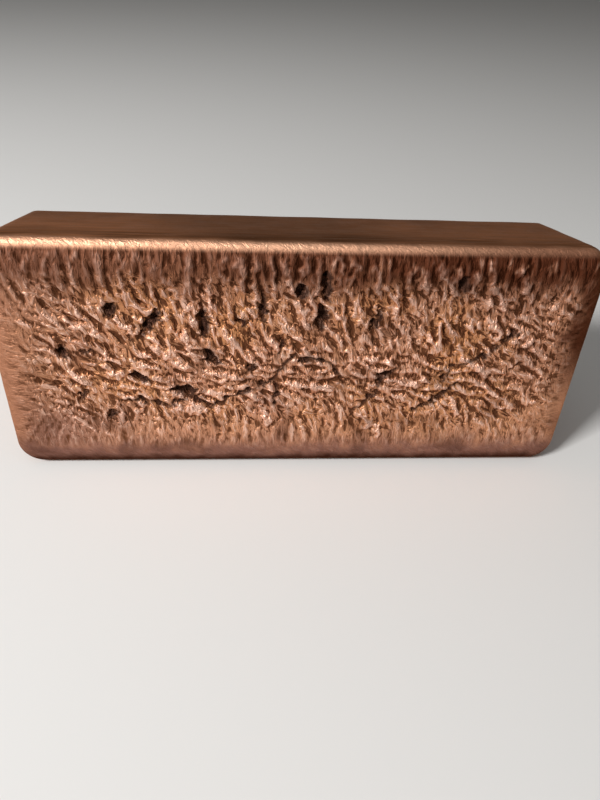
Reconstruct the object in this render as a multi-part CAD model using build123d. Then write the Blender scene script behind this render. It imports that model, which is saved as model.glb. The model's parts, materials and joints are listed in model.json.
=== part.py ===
"""Loaf-shaped copper ingot, cast as one piece in an open mould.

It lies on one of its long mould sides, with the rough pour face to the front (-Y). Sizes are in millimetres
and angles in degrees. The casting is modelled as it sat in the mould, pour face up, and then laid on its side.
"""

from build123d import *

import os
from math import atan2, cos, degrees, radians, sin, tan

# Mould cavity
POUR_LENGTH = 150.0  # at the mouth, where the free surface of the metal meets the walls
POUR_WIDTH = 63.5
WALL_HEIGHT = 33.0  # along the cavity's depth, from the mould's floor to the mouth
DRAFT = 6.0  # lean of all four walls
CORNER_RADIUS = 7.0  # upright corners, measured at the mouth
BASE_EDGE_RADIUS = 3.0  # round between the walls and the mould's floor

# Pour face: a rounded rim, a shoulder that rises to a crown, and a shallow dish left by shrinkage
RIM_RADIUS = 3.0
SHOULDER_WIDTH = 7.0
SHOULDER_RISE = 2.5
CROWN_CORNER_RADIUS = 9.0
CROWN_RADIUS = 14.0
DISH_WALL_WIDTH = 9.0
DISH_DEPTH = 1.2
DISH_CORNER_RADIUS = 7.0
DISH_EDGE_RADIUS = 14.0

# Ridges and pits of the skin. Each has its place along and across the face, as a share of the crown's half
# length and half width, and its own length, width and turn. Along runs to the right and across runs up, as
# seen from the front.

# Columns, which grew in from the upper edge
RIDGE_HEIGHT = 1.0  # of a crest above the smooth face
COLUMNS = [
    (-0.91, 1.02, 8.0, 2.4, 88),
    (-0.84, 1.05, 8.0, 2.6, 88),
    (-0.76, 1.02, 9.0, 2.6, 86),
    (-0.68, 1.00, 9.0, 2.8, 95),
    (-0.61, 0.99, 10.0, 2.8, 84),
    (-0.54, 1.02, 9.0, 3.0, 92),
    (-0.47, 0.89, 12.0, 2.8, 108),
    (-0.38, 1.01, 10.0, 3.0, 85),
    (-0.32, 0.80, 9.0, 2.6, 105),
    (-0.27, 1.02, 9.0, 2.8, 88),
    (-0.213, 1.00, 11.0, 3.0, 90),
    (-0.16, 0.91, 12.0, 2.8, 92),
    (-0.10, 0.96, 10.0, 2.8, 96),
    (-0.05, 0.96, 10.0, 2.6, 100),
    (0.005, 1.06, 6.0, 2.4, 88),
    (0.055, 0.95, 11.0, 2.6, 88),
    (0.125, 1.04, 8.0, 2.4, 90),
    (0.17, 0.98, 11.0, 2.8, 86),
    (0.26, 0.92, 10.0, 2.8, 104),
    (0.335, 0.66, 11.0, 2.8, 102),
    (0.37, 0.96, 7.0, 2.4, 82),
    (0.43, 0.94, 8.0, 2.4, 96),
    (0.49, 0.95, 12.0, 3.0, 109),
    (0.535, 0.90, 8.0, 2.6, 100),
    (0.61, 0.91, 8.0, 2.6, 92),
    (0.66, 1.05, 7.0, 2.4, 105),
    (0.71, 0.79, 9.0, 2.6, 120),
    (0.78, 0.96, 8.0, 2.4, 112),
]

# Folds, which the skin threw up as the middle sank
FOLDS = [
    (-0.79, -0.20, 8.0, 2.6, -45),
    (-0.76, 0.38, 8.0, 2.4, -30),
    (-0.69, -0.06, 9.0, 2.8, -40),
    (-0.615, 0.42, 7.0, 2.8, -38),
    (-0.507, 0.20, 8.0, 2.8, -55),
    (-0.42, -0.53, 11.0, 4.4, -5),
    (-0.40, 0.24, 10.0, 3.2, -62),
    (-0.395, 0.53, 9.0, 3.0, -75),
    (-0.265, -0.13, 11.0, 3.0, -12),
    (-0.257, 0.32, 9.0, 3.0, -48),
    (-0.17, -0.37, 8.0, 2.6, -35),
    (-0.12, -0.58, 9.0, 2.6, -80),
    (-0.09, 0.20, 8.0, 2.6, -60),
    (0.005, 0.57, 10.0, 3.0, -68),
    (0.05, 0.10, 8.0, 2.8, -35),
    (0.06, -0.25, 15.0, 3.0, -10),
    (0.154, 0.47, 8.0, 2.8, -65),
    (0.22, 0.55, 8.0, 2.6, -60),
    (0.265, -0.62, 10.0, 3.0, -68),
    (0.27, 0.07, 13.0, 3.6, -8),
    (0.315, -0.80, 8.0, 2.4, -68),
    (0.42, -0.20, 12.0, 2.8, -15),
    (0.485, 0.31, 9.0, 3.0, -45),
    (0.495, 0.53, 8.0, 2.8, -75),
    (0.62, 0.14, 8.0, 2.8, -55),
    (0.62, -0.50, 8.0, 2.6, -40),
    (0.706, -0.08, 12.0, 3.2, -62),
    (0.72, 0.45, 9.0, 2.8, -50),
    (0.81, -0.40, 9.0, 2.6, -35),
    (0.86, 0.28, 11.0, 2.8, -32),
]

# Shrinkage pits, open pockets that narrow as they go down
PIT_DEPTH = 2.2  # below the dish's floor
PIT_WALL_LEAN = 16.0
PITS = [
    (-0.85, 0.12, 3.6, 2.8, 70),
    (-0.66, 0.58, 3.8, 3.0, 60),
    (-0.52, 0.48, 9.5, 2.4, 55),
    (-0.34, 0.47, 9.0, 2.7, 90),
    (-0.32, 0.09, 5.7, 2.6, -50),
    (-0.41, -0.32, 8.0, 2.4, -4),
    (-0.13, 0.63, 8.0, 2.0, 90),
    (0.00, 0.81, 4.4, 3.0, 75),
    (0.08, 0.52, 7.0, 3.4, 79),
    (0.09, 0.85, 8.5, 2.0, 94),
    (0.28, 0.53, 6.0, 2.2, 75),
    (0.57, 0.89, 5.4, 2.6, 100),
]


def plan(length, width, radius, level):
    """Rounded rectangle across the mould at a level above its floor."""
    return Pos(0, 0, level) * RectangleRounded(length, width, radius)


def wall_block():
    """The part of the casting that the mould's four leaning walls shaped."""
    mouth = plan(POUR_LENGTH, POUR_WIDTH, CORNER_RADIUS, WALL_HEIGHT)
    return extrude(mouth, amount=-WALL_HEIGHT, taper=DRAFT)


CROWN_LEVEL = WALL_HEIGHT + SHOULDER_RISE
CROWN_LENGTH = POUR_LENGTH - 2 * SHOULDER_WIDTH
CROWN_WIDTH = POUR_WIDTH - 2 * SHOULDER_WIDTH
DISH_LEVEL = CROWN_LEVEL - DISH_DEPTH
DISH_LENGTH = CROWN_LENGTH - 2 * DISH_WALL_WIDTH
DISH_WIDTH = CROWN_WIDTH - 2 * DISH_WALL_WIDTH
CROWN_TURN = atan2(SHOULDER_RISE, SHOULDER_WIDTH) + atan2(DISH_DEPTH, DISH_WALL_WIDTH)
ROUNDED_CROWN_LEVEL = CROWN_LEVEL - CROWN_RADIUS * (1 / cos(CROWN_TURN / 2) - 1)


def shoulder():
    """The free surface's edge, which rises from the mouth to the crown."""
    mouth = plan(POUR_LENGTH, POUR_WIDTH, CORNER_RADIUS, WALL_HEIGHT)
    crown = plan(CROWN_LENGTH, CROWN_WIDTH, CROWN_CORNER_RADIUS, CROWN_LEVEL)
    return loft([mouth, crown], ruled=True)


def dish():
    """The hollow that shrinkage leaves inside the crown."""
    crown = plan(CROWN_LENGTH, CROWN_WIDTH, CROWN_CORNER_RADIUS, CROWN_LEVEL)
    floor = plan(DISH_LENGTH, DISH_WIDTH, DISH_CORNER_RADIUS, DISH_LEVEL)
    return loft([floor, crown], ruled=True)


def edges_at(casting, level):
    """The loop of edges that lies flat at a level."""
    return casting.edges().filter_by_position(Axis.Z, level, level)


def face_level(along, across):
    """Level of the smooth face: the shoulder, the rounded crown, the dish's wall or its floor."""
    inset = min(POUR_LENGTH / 2 - abs(along), POUR_WIDTH / 2 - abs(across))
    shoulder_level = WALL_HEIGHT + SHOULDER_RISE * inset / SHOULDER_WIDTH
    dish_wall_level = CROWN_LEVEL - DISH_DEPTH * (inset - SHOULDER_WIDTH) / DISH_WALL_WIDTH
    return min(shoulder_level, ROUNDED_CROWN_LEVEL, max(dish_wall_level, DISH_LEVEL))


def ridge(along, across, length, width, turn):
    """One ridge, whose crest follows the face and dips into it at both ends, with flanks that slope down."""
    place = Pos(along * CROWN_LENGTH / 2, across * CROWN_WIDTH / 2) * Rot(0, 0, turn)
    crest = []
    for share, rise in ((-1, -0.3), (-0.5, 0.9), (0, 1), (0.5, 0.9), (1, -0.3)):
        spot = (place * Pos(share * length / 2)).position
        crest.append((share * length / 2, face_level(spot.X, spot.Y) + rise * RIDGE_HEIGHT))
    foot = WALL_HEIGHT - SHOULDER_RISE
    side = make_face(Plane.XZ * Polyline(*crest, (length / 2, foot), (-length / 2, foot), close=True))
    flank_lean = degrees(atan2(RIDGE_HEIGHT, width / 2))
    return place * extrude(side, amount=0.65 * width, both=True, taper=flank_lean)


def pit_mouth(length, width):
    """Slot with straight sides and a blunt point at each end, as shrinkage leaves between the crystals."""
    straight = (length - width) / 2
    right = [(straight, -width / 2), (length / 2, 0), (straight, width / 2)]
    left = [(-x, -y) for x, y in right]
    return Polygon(*right, *left)


def pit(along, across, length, width, turn):
    """One shrinkage pit, cut down from the level of the highest crest, with its size at the crown's level."""
    top = CROWN_LEVEL + RIDGE_HEIGHT
    place = Pos(along * CROWN_LENGTH / 2, across * CROWN_WIDTH / 2, top) * Rot(0, 0, turn)
    spread = 2 * RIDGE_HEIGHT * tan(radians(PIT_WALL_LEAN))
    mouth = place * pit_mouth(length + spread, width + spread)
    return extrude(mouth, amount=-(RIDGE_HEIGHT + DISH_DEPTH + PIT_DEPTH), taper=PIT_WALL_LEAN)


def casting():
    """The whole ingot as it sat in the mould, pour face up."""
    block = wall_block() + shoulder() - dish()
    block = fillet(edges_at(block, 0), BASE_EDGE_RADIUS)
    block = fillet(edges_at(block, WALL_HEIGHT), RIM_RADIUS)
    block = fillet(edges_at(block, CROWN_LEVEL), CROWN_RADIUS)
    block = fillet(edges_at(block, DISH_LEVEL), DISH_EDGE_RADIUS)
    block += [ridge(*values) for values in COLUMNS + FOLDS]
    return block - [pit(*values) for values in PITS]


def lay_on_side(block):
    """Turns the casting until one long wall is level, and sets that wall on the ground."""
    turned = Rot(90 - DRAFT, 0, 0) * block
    lift = POUR_WIDTH / 2 * cos(radians(DRAFT)) - WALL_HEIGHT * sin(radians(DRAFT))
    return Pos(0, -turned.bounding_box().center().Y, lift) * turned


ingot = lay_on_side(casting())

os.makedirs("parts", exist_ok=True)
export_step(ingot, "parts/ingot.step")
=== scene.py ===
"""Dresses the cast copper ingot, a loaf casting that lies on one long side with its pour face to the front.

The casting is modelled as it sat in its mould, pour face up, in millimetres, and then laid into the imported
model's frame in metres. Along runs with the ingot's length, to the right as seen from the front. Across runs
up the pour face, and up is out of the mould.
"""

from __future__ import annotations

import json
import logging
import math
from dataclasses import dataclass, field
from enum import Enum

import bmesh
import bpy
import numpy as np
from mathutils import Matrix, Vector

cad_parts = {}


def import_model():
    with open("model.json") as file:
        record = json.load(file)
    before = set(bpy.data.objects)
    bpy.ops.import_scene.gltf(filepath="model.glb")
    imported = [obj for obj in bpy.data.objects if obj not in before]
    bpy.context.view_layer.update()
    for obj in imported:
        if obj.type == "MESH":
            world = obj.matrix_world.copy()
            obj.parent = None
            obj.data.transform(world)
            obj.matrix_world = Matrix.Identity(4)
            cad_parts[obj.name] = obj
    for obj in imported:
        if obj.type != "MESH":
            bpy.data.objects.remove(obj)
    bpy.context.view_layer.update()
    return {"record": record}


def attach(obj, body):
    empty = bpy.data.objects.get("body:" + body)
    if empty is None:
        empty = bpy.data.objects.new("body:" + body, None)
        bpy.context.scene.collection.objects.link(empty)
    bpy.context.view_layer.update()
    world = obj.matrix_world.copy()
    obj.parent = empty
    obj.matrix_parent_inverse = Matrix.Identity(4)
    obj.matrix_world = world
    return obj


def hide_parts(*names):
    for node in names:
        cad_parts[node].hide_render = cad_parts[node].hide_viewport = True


LOG = logging.getLogger("copper_ingot")
MM = 0.001
Colour = tuple[float, float, float]
Triple = tuple[float, float, float]
Pair = tuple[float, float]


def ease(low: float, high: float, value: np.ndarray) -> np.ndarray:
    """Smooth step from 0 at the low value to 1 at the high one.

    Args:
        low: Value at and below which the step is 0.
        high: Value at and above which the step is 1.
        value: Values to map.

    Returns:
        The eased share for each value.
    """
    share = np.clip((value - low) / (high - low), 0.0, 1.0)
    return share * share * (3.0 - 2.0 * share)


def fade(low: float, high: float, value: np.ndarray) -> np.ndarray:
    """Smooth step from 1 at the low value down to 0 at the high one."""
    return 1.0 - ease(low, high, value)


class GradientNoise:
    """Seeded gradient noise over a plane, with values of about -1 to 1."""

    TABLE = 256  # grid points each way before the noise repeats
    GAIN = 1.5  # brings the values up to their range

    def __init__(self, seed: int) -> None:
        """Draws the slopes at the noise's grid points.

        Args:
            seed: Seed of the random draw.
        """
        angles = np.random.default_rng(seed).uniform(0.0, 2.0 * math.pi, (self.TABLE, self.TABLE))
        self.east = np.cos(angles)
        self.north = np.sin(angles)

    def at(self, u: np.ndarray, v: np.ndarray) -> np.ndarray:
        """Value at each point.

        Args:
            u: First coordinate, in noise cells.
            v: Second coordinate, in noise cells.

        Returns:
            The noise at each point.
        """
        column, row = np.floor(u).astype(int), np.floor(v).astype(int)
        s, t = u - column, v - row
        fade_s = s**3 * (s * (s * 6.0 - 15.0) + 10.0)
        fade_t = t**3 * (t * (t * 6.0 - 15.0) + 10.0)

        def corner(right: int, above: int) -> np.ndarray:
            """Slope of one corner of each point's cell, times the way to the point."""
            place = (row + above) % self.TABLE, (column + right) % self.TABLE
            return self.east[place] * (s - right) + self.north[place] * (t - above)

        lower = corner(0, 0) * (1.0 - fade_s) + corner(1, 0) * fade_s
        upper = corner(0, 1) * (1.0 - fade_s) + corner(1, 1) * fade_s
        return self.GAIN * (lower * (1.0 - fade_t) + upper * fade_t)


@dataclass(frozen=True)
class LoafMould:
    """The open mould that shaped the casting, in millimetres and degrees."""

    pour_length: float = 150.0
    pour_width: float = 63.5
    wall_height: float = 33.0
    draft: float = 6.0
    corner_radius: float = 7.0
    base_edge_radius: float = 3.0
    rim_radius: float = 3.0
    shoulder_width: float = 7.0
    shoulder_rise: float = 2.5
    crown_bend: float = 3.4  # reach of the rounding to each side of the crown and of the dish's edge
    bend_steps: int = 15
    dish_wall_width: float = 9.0
    dish_depth: float = 1.2

    @property
    def shoulder_slope(self) -> float:
        """Rise of the shoulder from the rim to the crown, in radians."""
        return math.atan2(self.shoulder_rise, self.shoulder_width)

    @property
    def lean(self) -> float:
        """Lean of the walls, in radians."""
        return math.radians(self.draft)

    def half_size(self, inset: float) -> Pair:
        """Half length and half width of the outline at an inset from the mouth's outline."""
        return self.pour_length / 2 - inset, self.pour_width / 2 - inset

    def wall_inset(self, level: float) -> float:
        """Inset of the wall at a level above the mould's floor."""
        return (self.wall_height - level) * math.tan(self.lean)

    def inset_of(self, x: np.ndarray, y: np.ndarray) -> np.ndarray:
        """Distance of points inside the mouth's outline.

        Args:
            x: Along the face.
            y: Across the face.

        Returns:
            The distance to the outline at each point.
        """
        half_length, half_width = self.half_size(self.corner_radius)
        past_x, past_y = np.abs(x) - half_length, np.abs(y) - half_width
        beyond = np.hypot(np.maximum(past_x, 0.0), np.maximum(past_y, 0.0))
        return self.corner_radius - beyond - np.minimum(np.maximum(past_x, past_y), 0.0)

    def round_the_mouth(self, x: np.ndarray, y: np.ndarray) -> np.ndarray:
        """Way round the mouth from the middle of its upper side, plus to the right and minus to the left.

        Args:
            x: Along the face.
            y: Across the face.

        Returns:
            The way round to the outline's point beside each point.
        """
        half_length, half_width = self.half_size(self.corner_radius)
        radius = self.corner_radius
        past_x = np.maximum(np.abs(x) - half_length, 1e-6)
        past_y = np.maximum(np.abs(y) - half_width, 0.0)
        turn = np.arctan2(past_y, past_x)
        on_side = np.minimum(np.abs(x), half_length)
        down_end = np.clip(half_width - y, 0.0, 2.0 * half_width)
        upper = on_side + radius * (math.pi / 2 - turn) + down_end
        lower = half_length + radius * (math.pi / 2 + turn) + down_end + half_length - on_side
        return np.sign(x) * np.where(y > -half_width, upper, lower)

    def crown(self, inset: np.ndarray) -> np.ndarray:
        """Height of the smooth pour face above the mouth: shoulder, crown and dish.

        Args:
            inset: Distance inside the mouth's outline.

        Returns:
            The height at each point.
        """
        steps = (-self.shoulder_width, self.shoulder_width, self.shoulder_width + self.dish_wall_width)
        heights = (-self.shoulder_rise, self.shoulder_rise, self.shoulder_rise - self.dish_depth)
        shifts = np.linspace(-self.crown_bend, self.crown_bend, self.bend_steps)
        return sum(np.interp(inset + shift, steps, heights) for shift in shifts) / len(shifts)


class FaceRaster:
    """A fine raster over the pour face, on which its skin is worked out, in millimetres."""

    LAST_CELL = 1.001  # keeps the right and upper neighbours of a place on the raster
    BLUR_REACH = 2.5  # how far a spread looks to each side, in its standard widths

    def __init__(self, half_length: float, half_width: float, step: float) -> None:
        """Lays out the raster's points.

        Args:
            half_length: Half of the raster's size along the face.
            half_width: Half of its size across the face.
            step: Distance between its points.
        """
        self.half_length = half_length
        self.half_width = half_width
        self.step = step
        along = np.arange(-half_length, half_length + step / 2, step)
        across = np.arange(-half_width, half_width + step / 2, step)
        self.x, self.y = np.meshgrid(along, across)

    def read(self, values: np.ndarray, x: np.ndarray, y: np.ndarray) -> np.ndarray:
        """Reads values between the raster's points.

        Args:
            values: One value for each raster point.
            x: Where to read, along the face.
            y: Where to read, across the face.

        Returns:
            The value at each place.
        """
        rows, columns = values.shape
        column = np.clip((x + self.half_length) / self.step, 0.0, columns - self.LAST_CELL)
        row = np.clip((y + self.half_width) / self.step, 0.0, rows - self.LAST_CELL)
        left, low = column.astype(int), row.astype(int)
        s, t = column - left, row - low
        lower = values[low, left] * (1.0 - s) + values[low, left + 1] * s
        upper = values[low + 1, left] * (1.0 - s) + values[low + 1, left + 1] * s
        return lower * (1.0 - t) + upper * t

    def blur(self, values: np.ndarray, width: float) -> np.ndarray:
        """Spreads values over their surroundings.

        Args:
            values: One value for each raster point.
            width: Standard width of the spread.

        Returns:
            The spread values.
        """
        reach = math.ceil(self.BLUR_REACH * width / self.step)
        taps = np.exp(-0.5 * (np.arange(-reach, reach + 1) * self.step / width) ** 2)
        taps /= taps.sum()
        for axis, size in enumerate(values.shape):
            margins = [(reach, reach) if side == axis else (0, 0) for side in range(2)]
            padded = np.pad(values, margins, mode="edge")
            windows = (np.arange(start, start + size) for start in range(2 * reach + 1))
            values = sum(tap * np.take(padded, window, axis) for tap, window in zip(taps, windows))
        return values

    def flow(self, values: np.ndarray, heading: np.ndarray, reach: float) -> np.ndarray:
        """Draws values out along the lines of a heading that changes over the face.

        Args:
            values: One value for each raster point.
            heading: Direction at each point, in radians, either way round.
            reach: How far each point looks up and down its line.

        Returns:
            The drawn values, with a spread of 1.
        """
        east, north = np.cos(heading), np.sin(heading)
        rows, columns = values.shape
        steps = math.ceil(reach / self.step)
        total = values.copy()
        for sense in (1.0, -1.0):
            row, column = np.indices(values.shape).astype(float)
            go_east, go_north = sense * east, sense * north
            for number in range(1, steps + 1):
                column = np.clip(column + go_east, 0.0, columns - 1.0)
                row = np.clip(row + go_north, 0.0, rows - 1.0)
                near = np.rint(row).astype(int), np.rint(column).astype(int)
                total += 0.5 * (1.0 + math.cos(math.pi * number / steps)) * values[near]
                same_way = np.where(east[near] * go_east + north[near] * go_north < 0.0, -1.0, 1.0)
                go_east, go_north = same_way * east[near], same_way * north[near]
        return total / total.std()


@dataclass(frozen=True)
class Mark:
    """A ridge or pit: its middle as shares of the crown's half length and half width, with size and turn."""

    along: float
    across: float
    length: float
    width: float
    turn: float


@dataclass(frozen=True)
class EdgeChill:
    """How one edge of the mouth cooled the metal."""

    cold: float
    smooth: Pair
    calm: Pair


class MouthEdge(Enum):
    """The mouth's edges: chill, reach of the smooth margin and reach of the calm border, in millimetres."""

    UPPER = EdgeChill(1.6, (1.5, 4.0), (5.0, 16.0))
    LOWER = EdgeChill(1.0, (4.0, 12.0), (6.0, 23.0))
    LEFT = EdgeChill(0.35, (0.5, 8.0), (0.0, 24.0))
    RIGHT = EdgeChill(0.35, (0.5, 7.0), (0.0, 19.0))


class Strand(Enum):
    """Strands of the skin: number of the noise, its pitch and the reach of its lines, in millimetres."""

    COLUMN = (20, 1.6, 6.0)
    THREAD = (21, 0.8, 2.6)
    CRINKLE = (22, 1.0, 2.8)
    LEDGE = (24, 1.8, 5.0)
    VEIN = (25, 2.6, 7.0)


@dataclass(frozen=True)
class SkinZones:
    """Zones of the pour face, as shares from 0 to 1, and the shift that makes their borders ragged."""

    ragged: np.ndarray
    awake: np.ndarray
    middle: np.ndarray
    upper: np.ndarray
    fringe: np.ndarray


@dataclass
class PourRelief:
    """The crumpled skin that set on the open face, as heights over the smooth face, in millimetres."""

    mould: LoafMould
    raster_step: float = 0.25
    ridge_height: float = 1.0
    ridge_curve: float = 1.4  # power that narrows the crests
    crest_steps: Triple = (0.0, 0.7, 1.1)  # from a ridge's middle, in half lengths
    crest_heights: Triple = (1.0, 0.95, 0.0)
    crest_lean: Pair = (0.6, 0.4)  # to the right and down, for each millimetre of height
    column_height: float = 0.26
    thread_height: float = 0.08
    vein_height: float = 0.3
    vein_edge: Pair = (0.1, 0.42)  # where a vein's flank starts and ends, from its middle line
    crinkle_height: float = 0.22
    ledge_height: float = 0.45
    swell_height: float = 0.3
    slot_depth: float = 0.5
    pit_depth: float = 2.0
    pit_edge: Pair = (0.32, 0.64)  # nearness to a pit's middle at which its wall starts and ends
    crack_depth: float = 0.9
    crack_edge: Pair = (0.15, 0.75)  # where a crack's wall starts and ends, from its middle line
    softness: float = 0.15  # width over which the finished heights are spread
    chill_reach: float = 3.0
    chill_fall: float = 1.5  # power by which the chill falls off from an edge
    middle_slant: float = -0.25  # slants and turns of the folded skin, in radians
    end_slant: float = -0.5
    upper_turn: float = 0.85
    lower_turn: float = 1.2
    seed: int = 11
    columns: tuple[Mark, ...] = (
        Mark(-0.91, 1.02, 8.0, 2.4, 88),
        Mark(-0.84, 1.05, 8.0, 2.6, 88),
        Mark(-0.76, 1.02, 9.0, 2.6, 86),
        Mark(-0.68, 1.00, 9.0, 2.8, 95),
        Mark(-0.61, 0.99, 10.0, 2.8, 84),
        Mark(-0.54, 1.02, 9.0, 3.0, 92),
        Mark(-0.47, 0.89, 12.0, 2.8, 108),
        Mark(-0.38, 1.01, 10.0, 3.0, 85),
        Mark(-0.32, 0.80, 9.0, 2.6, 105),
        Mark(-0.27, 1.02, 9.0, 2.8, 88),
        Mark(-0.213, 1.00, 11.0, 3.0, 90),
        Mark(-0.16, 0.91, 12.0, 2.8, 92),
        Mark(-0.10, 0.96, 10.0, 2.8, 96),
        Mark(-0.05, 0.96, 10.0, 2.6, 100),
        Mark(0.005, 1.06, 6.0, 2.4, 88),
        Mark(0.055, 0.95, 11.0, 2.6, 88),
        Mark(0.125, 1.04, 8.0, 2.4, 90),
        Mark(0.17, 0.98, 11.0, 2.8, 86),
        Mark(0.26, 0.92, 10.0, 2.8, 104),
        Mark(0.335, 0.66, 11.0, 2.8, 102),
        Mark(0.37, 0.96, 7.0, 2.4, 82),
        Mark(0.43, 0.94, 8.0, 2.4, 96),
        Mark(0.49, 0.95, 12.0, 3.0, 109),
        Mark(0.535, 0.90, 8.0, 2.6, 100),
        Mark(0.61, 0.91, 8.0, 2.6, 92),
        Mark(0.66, 1.05, 7.0, 2.4, 105),
        Mark(0.71, 0.79, 9.0, 2.6, 120),
        Mark(0.78, 0.96, 8.0, 2.4, 112),
    )
    folds: tuple[Mark, ...] = (
        Mark(-0.79, -0.20, 8.0, 2.6, -45),
        Mark(-0.76, 0.38, 8.0, 2.4, -30),
        Mark(-0.69, -0.06, 9.0, 2.8, -40),
        Mark(-0.615, 0.42, 7.0, 2.8, -38),
        Mark(-0.507, 0.20, 8.0, 2.8, -55),
        Mark(-0.42, -0.53, 11.0, 4.4, -5),
        Mark(-0.40, 0.24, 10.0, 3.2, -62),
        Mark(-0.395, 0.53, 9.0, 3.0, -75),
        Mark(-0.265, -0.13, 11.0, 3.0, -12),
        Mark(-0.257, 0.32, 9.0, 3.0, -48),
        Mark(-0.17, -0.37, 8.0, 2.6, -35),
        Mark(-0.12, -0.58, 9.0, 2.6, -80),
        Mark(-0.09, 0.20, 8.0, 2.6, -60),
        Mark(0.005, 0.57, 10.0, 3.0, -68),
        Mark(0.05, 0.10, 8.0, 2.8, -35),
        Mark(0.06, -0.25, 15.0, 3.0, -10),
        Mark(0.154, 0.47, 8.0, 2.8, -65),
        Mark(0.22, 0.55, 8.0, 2.6, -60),
        Mark(0.265, -0.62, 10.0, 3.0, -68),
        Mark(0.27, 0.07, 13.0, 3.6, -8),
        Mark(0.315, -0.80, 8.0, 2.4, -68),
        Mark(0.42, -0.20, 12.0, 2.8, -15),
        Mark(0.485, 0.31, 9.0, 3.0, -45),
        Mark(0.495, 0.53, 8.0, 2.8, -75),
        Mark(0.62, 0.14, 8.0, 2.8, -55),
        Mark(0.62, -0.50, 8.0, 2.6, -40),
        Mark(0.706, -0.08, 12.0, 3.2, -62),
        Mark(0.72, 0.45, 9.0, 2.8, -50),
        Mark(0.81, -0.40, 9.0, 2.6, -35),
        Mark(0.86, 0.28, 11.0, 2.8, -32),
    )
    pits: tuple[Mark, ...] = (
        Mark(-0.85, 0.12, 3.6, 2.8, 70),
        Mark(-0.66, 0.58, 3.8, 3.0, 60),
        Mark(-0.52, 0.48, 9.5, 2.4, 55),
        Mark(-0.34, 0.47, 9.0, 2.7, 90),
        Mark(-0.32, 0.09, 5.7, 2.6, -50),
        Mark(-0.41, -0.32, 8.0, 2.4, -4),
        Mark(-0.13, 0.63, 8.0, 2.0, 90),
        Mark(0.00, 0.81, 4.4, 3.0, 75),
        Mark(0.08, 0.52, 7.0, 3.4, 79),
        Mark(0.09, 0.85, 8.5, 2.0, 94),
        Mark(0.28, 0.53, 6.0, 2.2, 75),
        Mark(0.57, 0.89, 5.4, 2.6, 100),
        Mark(-0.58, -0.16, 5.0, 2.2, -30),
        Mark(-0.70, -0.59, 3.6, 1.8, 40),
        Mark(-0.80, -0.37, 3.4, 1.6, 60),
        Mark(-0.17, -0.02, 4.0, 1.8, 60),
        Mark(-0.20, 0.47, 3.0, 1.6, 90),
    )
    cracks: tuple[tuple[Pair, ...], ...] = (
        (
            (-43.0, -9.7),
            (-33.0, -12.0),
            (-28.0, -9.4),
            (-22.0, -12.3),
            (-13.0, -7.4),
            (-6.5, -4.3),
            (-1.4, 3.0),
        ),
        ((55.0, 10.0), (48.0, 2.7), (40.0, 0.3), (38.0, -4.2)),
        ((26.0, -0.3), (21.4, -3.6), (21.0, -8.0), (16.0, -12.6)),
        ((42.0, -4.8), (38.7, -9.1), (32.0, -13.3)),
        ((-55.0, 3.0), (-51.0, 3.5)),
        ((0.5, 1.5), (4.0, 2.2), (8.0, 1.0), (11.0, -3.2)),
        ((-6.3, -4.3), (-5.0, -7.8), (-6.0, -11.0)),
        ((-3.7, 7.2), (-5.2, 2.0)),
    )
    raster: FaceRaster = field(init=False)
    height: np.ndarray = field(init=False)
    masks: dict[str, np.ndarray] = field(init=False)

    def __post_init__(self) -> None:
        """Works the skin out on a raster."""
        self.raster = FaceRaster(*self.mould.half_size(0.0), self.raster_step)
        self.height, self.masks = self.skin()

    def noise(self, number: int, pitch: float) -> np.ndarray:
        """The skin's noise of a number, which gives it a seed of its own, with cells of a pitch."""
        return GradientNoise(self.seed * 100 + number).at(self.raster.x / pitch, self.raster.y / pitch)

    def drawn(self, strand: Strand, heading: np.ndarray) -> np.ndarray:
        """Noise drawn out into strands along a heading, with a spread of 1."""
        number, pitch, reach = strand.value
        return self.raster.flow(self.noise(number, pitch), heading, reach)

    def standing_out(self, values: np.ndarray, width: float) -> np.ndarray:
        """How far values stand out from those around them, within a width."""
        return values - self.raster.blur(values, width)

    def way_in(self, edge: MouthEdge) -> np.ndarray:
        """Distance of each raster point from one edge of the mouth.

        Args:
            edge: The edge.

        Returns:
            The distance at each raster point.
        """
        half_length, half_width = self.mould.half_size(0.0)
        match edge:
            case MouthEdge.UPPER:
                return half_width - self.raster.y
            case MouthEdge.LOWER:
                return half_width + self.raster.y
            case MouthEdge.LEFT:
                return half_length + self.raster.x
            case MouthEdge.RIGHT:
                return half_length - self.raster.x

    def zones(self) -> SkinZones:
        """Zones of the face, which follow from the mouth's edges.

        Returns:
            The zones: where the skin stirs at all, its crumpled middle, the columns' zone under the upper rim
            and the fringe above the low edge.
        """
        ragged = 2.0 * self.noise(5, 6.0) + 1.5 * self.noise(10, 2.5)
        awake, middle = np.ones_like(ragged), np.ones_like(ragged)
        for edge in MouthEdge:
            way = self.way_in(edge)
            awake *= ease(*edge.value.smooth, way)
            middle *= ease(*edge.value.calm, way + ragged)
        below_rim, above_low_edge = self.way_in(MouthEdge.UPPER), self.way_in(MouthEdge.LOWER)
        upper = ease(0.8, 4.0, below_rim) * fade(8.0, 25.0, below_rim + ragged)
        fringe = ease(4.0, 9.0, above_low_edge) * fade(11.0, 18.0, above_low_edge + ragged)
        return SkinZones(ragged, awake, middle, upper, fringe)

    def growth(self) -> np.ndarray:
        """Direction in which the crystals grew, square to the nearest edges and fanned out at the corners.

        Returns:
            The direction at each raster point, in radians.
        """
        pull = {
            edge: edge.value.cold / (self.way_in(edge) + self.chill_reach) ** self.chill_fall
            for edge in MouthEdge
        }
        inward = pull[MouthEdge.LEFT] - pull[MouthEdge.RIGHT]
        upward = pull[MouthEdge.LOWER] - pull[MouthEdge.UPPER]
        return np.arctan2(upward, inward) + 0.28 * self.noise(1, 9.0) + 0.15 * self.noise(2, 3.0)

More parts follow.
